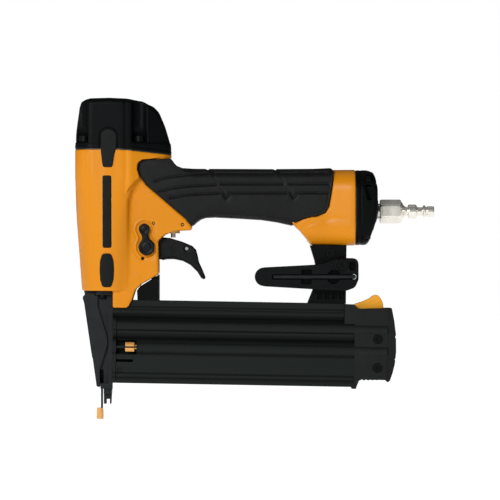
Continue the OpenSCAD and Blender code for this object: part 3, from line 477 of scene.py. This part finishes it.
def make_housing():
    """The cast body: barrel, head shelf, trigger cheeks, magazine lug, handle tube and tail bell."""
    f = Field((-140.2, -26.6, -87.4), (72.8, 26.6, 35.0), 0.72)
    x, y, z = f.x, f.y, f.z
    r = np.hypot(x - DRIVER_X, y)
    body = barrel_field(f)
    # web behind the barrel, with the trigger cheeks
    web = poly(x, z, soft([(-112, 24), (-112, -64), (-100, -72), (-92.2, -69.4), (-75.7, -60),
                           (-76.2, -35), (-71, -30.4), (-63.6, -27.7), (-51.6, -27.2), (-51.0, -24.4),
                           (-56, -12), (-66, 10), (-72, 24)], 2.5))
    body = either(body, both(web, np.abs(y) - 14.6, 1.8), 3.2)
    # lug cheeks that straddle the magazine rail
    lug = poly(x, z, soft([(-110.2, -60), (-110.2, -85.2), (-99.8, -85.2), (-98.4, -84), (-95.9, -79.5),
                           (-93.4, -71.7), (-89.7, -68.5), (-89.7, -60)], 1.2))
    body = either(body, both(lug, band(np.abs(y), 9, 14.7), 1.2), 0.8)
    body = cut(body, both(band(x, -130, -80), both(np.abs(y) - 11.4, z - BARREL_END)))
    body = both(body, z - seam(x), 0.5)
    # handle tube and tail bell
    tube = both(np.hypot(y, z) - 14.8, band(x, -112, 52))
    width = 15.6 + 1.6 * smooth(x, 20, 46) + 4.8 * smooth(x, 48, 71)
    bell = rrect(y, z - TAIL_Z, width, 28.4, 15.5)
    side = poly(x, z, soft([(22, 10), (40, 15.2), (50, 24), (80, 24), (80, -44), (41, -44), (37.6, -38.5),
                            (34.7, -33.6), (30.2, -28), (25.4, -23.6), (24.4, -22), (22, -18)], 2))
    bell = both(both(bell, side, 2.5), x - 71.3, 0.4)
    body = np.minimum(np.minimum(body, tube), bell)
    # soft swage line along the lower edge of the bell
    swage = line(x, z, [(30, -26.5), (38, -22.4), (47, -19.6), (58, -18.4), (70, -18.2)])
    body = body + ridge(swage, 0.4, 1.3) * smooth(x, 28, 34) * smooth(x, 66, 58)
    # parting line of the front of the barrel
    front = line(x, z, [(-127.6, 31), (-127.6, -26), (-128.6, -33), (-131, -38), (-135, -42)])
    body = body + ridge(front, 0.22, 0.7) * (z < 30)
    # the grip lies in a pocket
    grip = poly(x, z, GRIP_OUTLINE)
    body = cut(body, both(grip - 0.4, 13.9 - np.abs(y), 0.3))
    # trigger slot, passages and recesses
    body = cut(body, both(both(band(x, -95, -40), band(z, -54, -29.6)), np.abs(y) - 6.6), 0.6)
    body = cut(body, np.maximum(circle(x, y, (-80, 0), 2.2), band(z, -75, -50)))
    body = cut(body, np.maximum(circle(x, y, (VALVE_X, 0), VALVE_BORE), band(z, -45, -6)), 0.5)
    knob = either(circle(x, z, TRIGGER_PIN, 7.8), circle(x, z, (-86.6, -26.2), 6.2), 5)
    body = cut(body, both(knob, y + 13.5, 0.4), 0.5)
    body = body + ridge(knob - 1.8, 0.4, 0.7) * (y < -13)
    body = cut(body, both(circle(x, z, TRIGGER_PIN, 4.4), 13.8 - y), 0.4)
    # holes of the roll pins
    for centre in ((-57.9, -22.9), (-79.7, -22.0), (-87.8, -48.3)):
        body = cut(body, np.maximum(circle(x, z, centre, 1.6), 13.9 - np.abs(y)), 0.35)
    # open top of the barrel, and the open tail
    body = cut(body, np.maximum(r - 20.2, band(z, 26, 40)))
    hollow = rrect(y, z - TAIL_Z, 16, 22.5, 13)
    body = cut(body, np.maximum(hollow, band(x, 64, 80)))
    return sculpt("housing_cast", f, body, "tool_body", PAINT, ["housing"])


def make_pads():
    """Rubber pads and plain dark strips on both sides of the barrel."""
    for side, sign in (("left", -1), ("right", 1)):
        low, high = sorted((16.2 * sign, 26.4 * sign))
        f = Field((-121, low, -71.5), (-105, high, 49.6), 0.36)
        x, y, z = f.x, f.y, f.z
        casting = barrel_field(f)
        out = sign * y
        tongue = poly(x, z, soft([(-118.5, 42.4), (-118.6, 33.5), (-118.4, 30), (-117.3, 21), (-116.4, 19.6),
                                  (-110.6, 19.6), (-109.7, 21), (-108.4, 30), (-107, 34), (-106.9, 42.4)],
                                 1.2))
        tongue = np.minimum(tongue, circle(x, z, PAD_ARCH, 5.85))
        upper = both(tongue, band(out, 23.4, 25.6), 0.6)
        lower = poly(x, z, soft([(-117.6, -44.6), (-119.3, -50), (-119.7, -57), (-119.3, -64),
                                 (-117.6, -69.8), (-111.0, -69.8), (-109.2, -64), (-108.8, -57),
                                 (-109.2, -50), (-111.0, -44.6)], 2.5))
        lower = both(both(lower, casting - 0.9, 0.7), -casting - 1.5)
        strip = poly(x, z, soft([(-117.4, 13.6), (-117.4, -40.5), (-110.6, -40.5), (-110.6, 13.6)], 1.6))
        strip = both(both(strip, casting - 0.45, 0.4), -casting - 1.5)
        shell = 16.4 - out
        for name, node, values in (("upper_pad_", "upper_side_pads", upper),
                                   ("lower_pad_", "lower_side_pads", lower),
                                   ("side_strip_", "side_strips", strip)):
            sculpt(name + side, f, np.maximum(values, shell), "tool_body", PAD, [node])


GRIP_OUTLINE = [(-66.6, 26.4), (-64.4, 23.2), (-62, 20.8), (-58, 19.3), (-50, 19.0), (7, 18.8), (40, 19.0),
                (52.7, 19.6), (54.9, 17.6), (54.6, 10), (53.5, 2), (51.5, -9.4), (49, -13.9), (43, -16.5),
                (38, -17.2), (32.3, -18.6), (28, -21), (24, -23.9), (13, -21.5), (1, -19.7), (-17, -18.6),
                (-34, -17.7), (-40.7, -17.9), (-44.5, -19.2), (-47.4, -21.4), (-49.7, -24.4), (-51.2, -24.6),
                (-55.6, -19.0), (-85.7, 6.8), (-89.7, 12.8), (-91.5, 18.6), (-90.8, 23), (-88, 25.2),
                (-79.7, 26)]
GRIP_GROOVES = [
    [(-78, 9.6), (-70, 12.3), (-60, 13.6), (-48, 14.8), (-40, 15.4)],
    [(-35, 15.5), (9, 15.4)],
    [(15, 15.4), (50.5, 15.8)],
    [(-75, 2.0), (-66, 4.2), (-56, 5.6), (-44, 6.4), (-33, 6.9)],
    [(-29, 7.4), (17, 7.4)],
    [(22, 7.4), (51, 7.6)],
    [(-67, -3.0), (-56, -0.9), (-44, 0.0), (-30, 0.6)],
    [(-22, 0.6), (20, 0.8)],
    [(28, 0.8), (50.5, 0.8)],
    [(-27.9, 0.9), (-25.2, -3.2), (-22.2, 0.8)],
    [(22.3, 0.9), (25, -3.0), (28, 0.9)],
]
# faint slanting lines that join the grooves
GRIP_LINKS = [
    [(-40.8, 21), (-38.8, 17.8), (-36.4, 15.5), (-31, 7.2), (-27.9, 0.9)],
    [(9.6, 21), (11.6, 17.8), (13.8, 15.5), (19.2, 7.2), (22.3, 0.9)],
]


def make_grip():
    """Rubber grip with its moulded grooves, the same on both sides."""
    f = Field((-93, -19.4, -26.2), (57, 19.4, 28), 0.5)
    x, y, z = f.x, f.y, f.z
    outline = poly(x, z, soft(GRIP_OUTLINE, 1.6))
    top = np.interp(x, [-66, -62, -58, -50, 7, 40, 60], [28, 23, 20.4, 19.6, 19.3, 19.5, 20.2])
    bottom = np.interp(x, [-60, -45, -34, -17, 1, 13, 24, 60],
                       [-30, -20.3, -18.2, -18.9, -20.0, -21.8, -24.4, -33.4])
    hand = smooth(x, -66, -44)
    half = 17 - 0.35 * hand + 0.9 * smooth(x, 16, 54)
    body = both(np.abs(y) - half, z - top, 1.2 + 8.3 * hand)
    body = both(body, bottom - z, 1.2 + 9.0 * smooth(x, -60, -34))
    body = both(body, outline, 0.9)
    near = np.minimum.reduce([line(x, z, points) for points in GRIP_GROOVES])
    link = np.minimum.reduce([line(x, z, points) for points in GRIP_LINKS])
    body = body + ridge(near, 1.1, 0.75) + ridge(near, 0.35, 2.2)
    body = body + ridge(link, 0.14 + 0.8 * smooth(z, 15, 18), 0.8)
    # the valve's bore, with room for the stem when it is lifted
    body = cut(body, np.maximum(circle(x, y, (VALVE_X, 0), VALVE_BORE), z - 3))
    # fine groove inside the edge of the rubber
    body = body + ridge(outline + 1.7, 0.3, 0.5)
    return sculpt("grip_rubber_sleeve", f, body, "tool_body", RUBBER, ["grip_sleeve"])


def make_head_cap():
    """Head cap with its flutes for the screws and the arch over each side pad."""
    f = Field((-140, -26, 27.5), (-65, 26, 73), 0.45)
    x, y, z = f.x, f.y, f.z
    side = poly(x, z, soft([(-140, 10), (-139.6, 34), (-138.7, 42.7), (-137.4, 54.5), (-135.9, 64.5),
                            (-134.2, 68.4), (-130, 70.6), (-126, 71.2), (-112.5, 71.6), (-99.4, 71),
                            (-87.5, 69.0), (-79.4, 65.8), (-75.4, 61.8), (-70.9, 51.1), (-67.3, 39.2),
                            (-65.8, 29.5), (-65.6, 10)], 6))
    body = both(head_plan(f), side, 1.0 + 3.4 * smooth(z, 42, 64))
    # middle panel stands proud between the screw flutes
    panel = band(x, -128.3, -95.6)
    body = body + 0.65 * smooth(panel, -0.5, 0.5) * smooth(z, 37.4, 38.6) * smooth(z, 69.5, 66)
    # the flutes lean outwards as they rise
    up = 1.8 * smooth(z, 42, 50)
    for flute_x, flute_y, radius, drift in ((-133.2, 19.2, 6.1, -0.8), (-90.0, 19.8, 6.0, 0.3)):
        flute = np.hypot(x - flute_x - drift * up, np.abs(y) - flute_y - up) - radius
        body = cut(body, np.maximum(flute, 38.9 - z), 1.3)
    arch = poly(x, z, [(-118.6, 20), (-118.6, 42.4), (-106.8, 42.4), (-106.8, 20)])
    arch = np.minimum(arch, circle(x, z, PAD_ARCH, 5.9))
    body = body + ridge(arch - 0.6, 0.6, 0.5) * (np.abs(y) > 20)
    body = body + ridge(z - seam(x) - 3.6, 0.18, 0.45)
    body = both(body, seam(x) + 0.75 - z, 0.4)
    body = cut(body, np.maximum(circle(x, y, (DRIVER_X, 0), 19.5), z - 54))
    return sculpt("head_cap_moulding", f, body, "tool_body", PLASTIC, ["head_cap"])


def make_rear_cap():
    """Rear cap with its screw holes, exhaust slots, side windows and the boss round the inlet."""
    f = Field((71, -23.5, -39.8), (89.2, 23.5, 19.4), 0.42)
    x, y, z = f.x, f.y, f.z
    side = poly(x, z, soft([(60, 19.4), (80.2, 19.4), (84.8, 16.2), (87.1, 10.6), (87.9, 3), (88, -12),
                            (86.7, -20), (84.4, -28), (81.6, -35.8), (79.6, -39.6), (60, -39.6)], 3))
    body = both(both(rrect(y, z - TAIL_Z, 22, 28.6, 19.5), side, 3), 71.9 - x, 0.4)
    # shallow groove behind the mounting rim
    body = body + ridge(x - 75.2, 0.5, 0.5)
    inlet = circle(y, z, (0, PLUG_Z))
    body = cut(body, np.maximum(inlet - 5.9, 60 - x), 0.4)
    body = body - 0.9 * (1 - smooth(inlet, 8.6, 9.6)) * smooth(x, 84, 86)
    for screw in ((-14, -30.25), (-14, 9.75), (14, -30.25), (14, 9.75)):
        body = cut(body, np.maximum(circle(y, z, screw, 4.3), 79.2 - x), 0.6)
    for k in range(4):
        slot = both(band(y, -10.2 + 6 * k, -7.8 + 6 * k), band(z, 3.6, 11))
        body = cut(body, both(slot, 74 - x), 0.4)
    window = both(poly(x, z, soft([(78.4, 6.6), (83.6, 6.6), (85.8, -2.6), (83.6, -4.6), (80.4, -4.6)], 1.0)),
                  16.5 - np.abs(y))
    body = cut(body, window, 0.6)
    inner = rrect(y, z - TAIL_Z, 13, 17, 10)
    body = cut(body, np.maximum(inner, x - 83))
    return sculpt("rear_cap_moulding", f, body, "tool_body", PLASTIC, ["rear_cap"])


# ---------------------------------------------------------------- trigger, selector and magazine parts

TRIGGER = [(-80, -31.8), (-67.7, -32.9), (-58, -35.9), (-51, -38.9), (-48.1, -41.8), (-46.9, -46),
           (-45.8, -51.4), (-43.3, -56.6), (-40.95, -62.4), (-41.2, -63.8), (-42.4, -64.1), (-44.3, -63.1),
           (-47.1, -58.5), (-52.4, -53.3), (-58.1, -50.3), (-64.4, -49), (-69.6, -49), (-74.4, -50),
           (-88, -47.5), (-92, -42), (-92, -37), (-88, -33)]
TRIGGER_FACE = [(-74, -50.5), (-66, -49.2), (-58, -50.3), (-52.4, -53.3), (-47, -58.5), (-43.6, -63.6)]


def make_trigger():
    """Hollow trigger with a broad rounding along its finger face."""
    f = Field((-93.2, -6.4, -65.2), (-39.8, 6.4, -30.6), 0.3)
    x, y, z = f.x, f.y, f.z
    outline = poly(x, z, soft(TRIGGER, 1.5))
    face = smooth(line(x, z, TRIGGER_FACE), 4, 2)
    body = both(outline, np.abs(y) - 5.5, 1.0 + 2.9 * face * (x > -76))
    channel = poly(x, z, [(-95, -28), (-52, -28), (-49.5, -41), (-52, -46.4), (-60, -46), (-73.5, -45.6),
                          (-73.5, -56), (-95, -56)])
    body = cut(body, np.maximum(channel, np.abs(y) - 3.6), 0.3)
    body = cut(body, circle(x, z, TRIGGER_PIN, 2.6))
    body = cut(body, np.maximum(circle(x, z, (-55, -40.9), 2.2), 4.9 - np.abs(y)), 0.3)
    return sculpt("trigger_moulding", f, body, "trigger", GLOSS, ["trigger"])


def make_knob():
    """Selector knob: a disc on the trigger's pin, a small disc above it and the web between them."""
    f = Field((-93, -18, -47.4), (-79, -14.2, -21.2), 0.26)
    x, y, z = f.x, f.y, f.z
    low, top = circle(x, z, TRIGGER_PIN), circle(x, z, (-86.5, -26.4))
    web = line(x, z, [(-84.9, -38), (-86.4, -27.5)]) - 2.5
    body = both(either(np.minimum(low - 6.2, top - 4.1), web, 1.5), band(y, -17.4, -14.9), 1.1)
    body = body + ridge(low - 3.6, 0.3, 0.5) + ridge(top - 2.2, 0.25, 0.45)
    return sculpt("selector_moulding", f, body, "selector", GLOSS, ["selector_knob"])


def make_latch_lever():
    """Magazine latch lever with thumb grooves."""
    f = Field((174.5, -5.4, -10), (204, 5.4, 8.6), 0.3)
    x, y, z = f.x, f.y, f.z
    outline = poly(x, z, soft([(176, -3.6), (181.4, 0.2), (187, 2.2), (191.8, 4.4), (194.5, 6.4),
                               (196.6, 7.2), (198.8, 6.6), (200.8, 4.2), (202.1, 1.4), (202.6, -1.2),
                               (202.6, -3.2), (190, -4), (180, -9), (176.2, -9)], 1.0))
    body = both(outline, np.abs(y) - 4.5, 0.9)
    for k in range(5):
        groove_x = 183.5 + 2.1 * k
        groove_z = np.interp(groove_x, [181.4, 187, 191.8, 194.5], [0.4, 2.4, 4.6, 6.6])
        body = body + ridge(circle(x, z, (groove_x, groove_z)), 0.45, 0.5)
    body = cut(body, circle(x, z, (178.1, -6.2), 1.25))
    return sculpt("latch_lever_moulding", f, body, "magazine_latch", AMBER,
                  ["latch_lever"], in_magazine)


def make_bushing():
    """Split bushing that slides on the guide rod."""
    f = Field((8.8, -14.6, -39.1), (25.5, -6.4, -30.9), 0.2)
    x, y, z = f.x, f.y, f.z
    r = circle(y, z, ROD)
    collar = both(r - 3.65, band(x, 9.5, 16.3), 0.5)
    tube = both(r - 1.7, band(x, 12, 24.9), 0.2)
    body = np.minimum(collar, tube)
    body = cut(body, both(band(z, -35.55, -34.45), y - ROD[0]), 0.3)
    body = cut(body, r - 1.25)
    return sculpt("rod_bushing_moulding", f, body, "magazine", TAN, ["rod_bushing"],
                  in_magazine)


def make_belt_hook():
    """Belt hook with the channel, clip and finger recesses of its stored wrench."""
    f = Field((-4.9, -22.1, -73.3), (74.4, -8.7, -47.1), 0.3)
    x, y, z = f.x, f.y, f.z
    outline = poly(x, z, soft([(-8, -55.5), (41.5, -52.9), (49, -51.7), (57, -48.7), (61, -48.0),
                               (73.5, -48.0), (73.5, -64), (71, -70), (64.4, -72.4), (39.5, -71.3),
                               (-8, -68.5)], 5))
    # round tip
    outline = np.where(x < 3, np.maximum(outline, circle(x, z, (3, WRENCH_Z), 6.95)), outline)
    pivot = circle(x, z, HOOK_PIVOT)
    plate = both(outline, band(y, -21.5, -17), 0.8)
    boss = both(pivot - 6, band(y, -18, -9.35), 0.3)
    body = np.minimum(plate, boss)
    channel = rrect(x - 40.5, z - WRENCH_Z, 31.5, 1.9, 1.8)
    clip = rrect(x - 34.75, z - WRENCH_Z, 3.75, 5.4, 0.5)
    thumb = circle(x, z, (55.2, WRENCH_Z), 5.2)
    pocket = rrect(x - 69.1, z + 53.9, 2.1, 3.1, 0.8)
    recess = np.minimum(np.minimum(clip, thumb), pocket)
    body = cut(body, np.maximum(recess, y + 18.9), 0.3)
    body = cut(body, np.maximum(channel, y + 18.1), 0.3)
    # holes for the wrench's short leg and for the screw with its head
    body = cut(body, circle(x, z, (70, WRENCH_Z), 1.9))
    body = cut(body, np.maximum(pivot - 4.25, y + 18.5), 0.3)
    body = cut(body, pivot - 2.75)
    # fine groove round the pivot
    body = body + ridge(pivot - 5.6, 0.3, 0.5) * (y < -20)
    # the hook's finish carries painted shade in its recesses
    return sculpt("belt_hook_moulding", f, body, "belt_hook", HOOK_SHADE_PAINTED, ["belt_hook"])


def make_slit_shade_sheet():
    """Dark sheet in the slit between the nose plate and its door: painted shade that keeps the slit from
    showing through.
    """
    f = Field((-132.6, -7.6, -76.6), (-120.4, 7.6, -72.9), 0.3)
    x, y, z = f.x, f.y, f.z
    body = both(both(band(x, -131.6, -121.4), band(z, -75.9, -73.4), 0.3), np.abs(y) - 7.0, 0.3)
    return sculpt("nose_slit_shade_sheet", f, body, "tool_body", OXIDE)


PLUG_PROFILE = [(95, -1), (95, 7.4), (106.6, 7.2), (108.2, 4.5), (109.6, 3.4), (111.1, 3.3), (111.5, 4.9),
                (112, 5.2), (117, 5.2), (117.7, 4.6), (118.4, 3.2), (122.3, 3.15), (122.9, 4.5),
                (123.3, 4.75), (124, 4.6), (124.9, 3.3), (125.5, 3.4), (126, 3.9), (130.4, 3.95),
                (131, 3.4), (131, -1)]


def make_air_plug():
    """Quarter-inch air plug: chamfered hexagon and turned nipple."""
    f = Field((88.6, -9.6, -22.6), (131.6, 9.6, -3.4), 0.25)
    x, y, z = f.x, f.y, f.z
    r = circle(y, z, (0, PLUG_Z))
    across = np.maximum.reduce([np.abs(y * math.cos(a) + (z - PLUG_Z) * math.sin(a))
                                for a in (0, math.radians(60), math.radians(120))])
    chamfer = r - 9.0 + 0.55 * np.maximum(np.abs(x - 98.15) - 6.9, 0)
    hexagon = both(both(across - 7.95, band(x, 90.2, 106.1), 0.3), chamfer, 0.3)
    body = np.minimum(hexagon, poly(x, r, soft(PLUG_PROFILE, 0.25, 2)))
    body = cut(body, np.maximum(r - 2.3, 90 - x), 0.3)
    body = cut(body, np.maximum(r - 5.9, x - 97))
    return sculpt("air_plug_nickel", f, body, "tool_body", NICKEL, ["air_plug"])


# ---------------------------------------------------------------- springs

def make_spring(name, centre, direction, radius, wire, length, turns, body):
    """A round-wire coil with closed end turns.

    The radius is the coil's, and wire is half the wire's thickness."""
    per_turn, sides, closed = 28, 8, 0.75
    d = Vector(direction).normalized()
    u = d.orthogonal().normalized()
    v = d.cross(u)
    total = turns + 1.5
    count = int(total * per_turn)
    rings = []
    for i in range(count + 1):
        turn = total * i / count
        rise = wire + np.interp(turn, [0, closed, total - closed, total],
                                [0, wire * 1.2, length - 2 * wire - wire * 1.2, length - 2 * wire])
        a = 2 * math.pi * turn
        radial = u * math.cos(a) + v * math.sin(a)
        spot = Vector(centre) + d * rise + radial * radius
        for k in range(sides):
            b = 2 * math.pi * k / sides
            rings.append(spot + (radial * math.cos(b) + d * math.sin(b)) * wire)
    faces = []
    for i in range(count):
        for k in range(sides):
            n = (k + 1) % sides
            faces.append((i * sides + k, (i + 1) * sides + k, (i + 1) * sides + n, i * sides + n))
    # flat ends
    last = count * sides
    for k in range(1, sides - 2, 2):
        faces.append((0, k, k + 1, k + 2))
        faces.append((last, last + k + 2, last + k + 1, last + k))
    obj = add_mesh(name + "_wire", [tuple(p) for p in rings], faces, body, SPRING, [name])
    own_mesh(obj)


def make_springs():
    up = (0, 0, 1)
    make_spring("head_valve_spring", (DRIVER_X, 0, 42.2), up, 12, 0.7, 11.4, 3,
                "tool_body")
    make_spring("contact_spring", (-80, 0, -78.8), up, 2.4, 0.35, 12.3, 3, "tool_body")
    make_spring("valve_spring", (VALVE_X, 0, -18.8), up, 2.8, 0.4, 9, 3, "tool_body")
    x, z = local(194, -14)
    make_spring("latch_spring", (x, 0, z), MAG_UP, 2.4, 0.4, 9.6, 4,
                "magazine")
    x, z = local(22.3, -24)
    make_spring("pusher_spring", (x, -6.7, z), MAG_ALONG, 1.5, 0.3, 150, 20,
                "magazine")


# ---------------------------------------------------------------- parts kept from the CAD

# width in mm of the rounded edges, where it isn't the usual one
EDGE = 0.15
EDGES = {"magazine_cover": 0.0, "magazine_rail": 0.25, "nose_body": 0.3, "nose_door": 0.3, "door_latch": 0.3,
         "contact_arm": 0.3, "arm_guard": 0.6, "tail_bracket": 0.7, "end_block_left": 0.6,
         "end_block_right": 0.6, "end_bumper": 0.9, "no_mar_tip": 0.5, "cap_gasket": 0.0, "rear_gasket": 0.0}
# finishes matched to the photo, where the slot's own doesn't fit
# the magazine's rail and cover take the finish with painted shade in their channels
FINISH = {"magazine_rail": PROFILE_SHADE_PAINTED, "magazine_cover": PROFILE_SHADE_PAINTED, "no_mar_tip": TAN,
          "tail_bracket": COATED, "roll_pins": COATED, "selector_shaft": COATED, "nail_pusher": OXIDE,
          "hex_wrench": OXIDE, "end_block_left": BLOCK, "end_block_right": BLOCK}


def dress_cad():
    """Gives each CAD node its finish, and rounded edges to those that are seen."""
    slots = {s["node"]: s["material_slot"] for s in frame["record"]["subparts"]}
    for name, obj in nodes.items():
        obj.data.materials.clear()
        obj.data.materials.append(FINISH.get(name, BY_SLOT[slots[name]]))
        width = EDGES.get(name, EDGE)
        if width > 0 and not obj.hide_render:
            bevel = obj.modifiers.new("edge", "BEVEL")
            bevel.width = width * MM
            bevel.segments = 3
            bevel.limit_method = "ANGLE"
            bevel.angle_limit = math.radians(35)
            bevel.harden_normals = True


# ---------------------------------------------------------------- stage

def make_floor():
    low = cad_box[0].z
    bpy.ops.mesh.primitive_plane_add(size=6.0, location=(0, 0.4, low - 0.0005))
    floor = bpy.context.object
    floor.name = "floor"
    m = bpy.data.materials.new("floor_white")
    m.use_nodes = True
    inputs = m.node_tree.nodes["Principled BSDF"].inputs
    inputs["Base Color"].default_value = (0.4, 0.4, 0.4, 1)
    inputs["Roughness"].default_value = 0.9
    inputs["Specular IOR Level"].default_value = 0.0
    inputs["Emission Color"].default_value = (1, 1, 1, 1)
    inputs["Emission Strength"].default_value = 1.0
    floor.data.materials.append(m)


def make_world():
    """A background that is seen white but lights the tool only faintly."""
    world = bpy.data.worlds.new("studio")
    bpy.context.scene.world = world
    world.use_nodes = True
    tree = world.node_tree
    lit, seen = tree.nodes["Background"], tree.nodes.new("ShaderNodeBackground")
    for node, strength in ((lit, 0.08), (seen, 1.0)):
        node.inputs["Color"].default_value = (1, 1, 1, 1)
        node.inputs["Strength"].default_value = strength
    path = tree.nodes.new("ShaderNodeLightPath")
    mix = tree.nodes.new("ShaderNodeMixShader")
    tree.links.new(path.outputs["Is Camera Ray"], mix.inputs["Fac"])
    tree.links.new(lit.outputs["Background"], mix.inputs[1])
    tree.links.new(seen.outputs["Background"], mix.inputs[2])
    tree.links.new(mix.outputs["Shader"], tree.nodes["World Output"].inputs["Surface"])


def make_lights():
    aim = Vector((-0.01, 0, -0.03))
    for name, spot, size, watts in (("key", (-0.55, -1.3, 0.42), 0.45, 12.6),
                                    ("low", (0.35, -1.1, -0.75), 0.4, 1.1),
                                    ("left", (-1.3, -0.45, 0.15), 0.3, 0.9),
                                    ("top", (0.05, 0.3, 1.2), 0.6, 0.4)):
        data = bpy.data.lights.new(name, "AREA")
        data.energy, data.size = watts, size
        obj = bpy.data.objects.new(name, data)
        bpy.context.scene.collection.objects.link(obj)
        obj.location = spot
        obj.rotation_euler = (aim - Vector(spot)).to_track_quat("-Z", "Y").to_euler()


def make_camera():
    """Level with the tool and square to its side, as in the photograph."""
    sensor, distance = 36.0, 2.2
    near_side, seen_width = 0.008, 0.375     # the picture shows this width at this depth before the mid-plane
    data = bpy.data.cameras.new("camera")
    data.sensor_width = sensor
    data.lens = sensor * (distance - near_side) / seen_width
    data.clip_end = 20
    cam = bpy.data.objects.new("camera", data)
    bpy.context.scene.collection.objects.link(cam)
    cam.location = (-0.0075, -distance, -0.042)
    cam.rotation_euler = (math.radians(90), 0, 0)
    bpy.context.scene.camera = cam


for make in (make_camera, make_floor, make_world, make_lights, make_housing, make_pads, make_grip,
             make_head_cap, make_rear_cap, make_trigger, make_knob, make_latch_lever, make_bushing,
             make_belt_hook, make_slit_shade_sheet, make_air_plug, make_springs, dress_cad):
    make()
bpy.context.scene.view_settings.view_transform = "Standard"
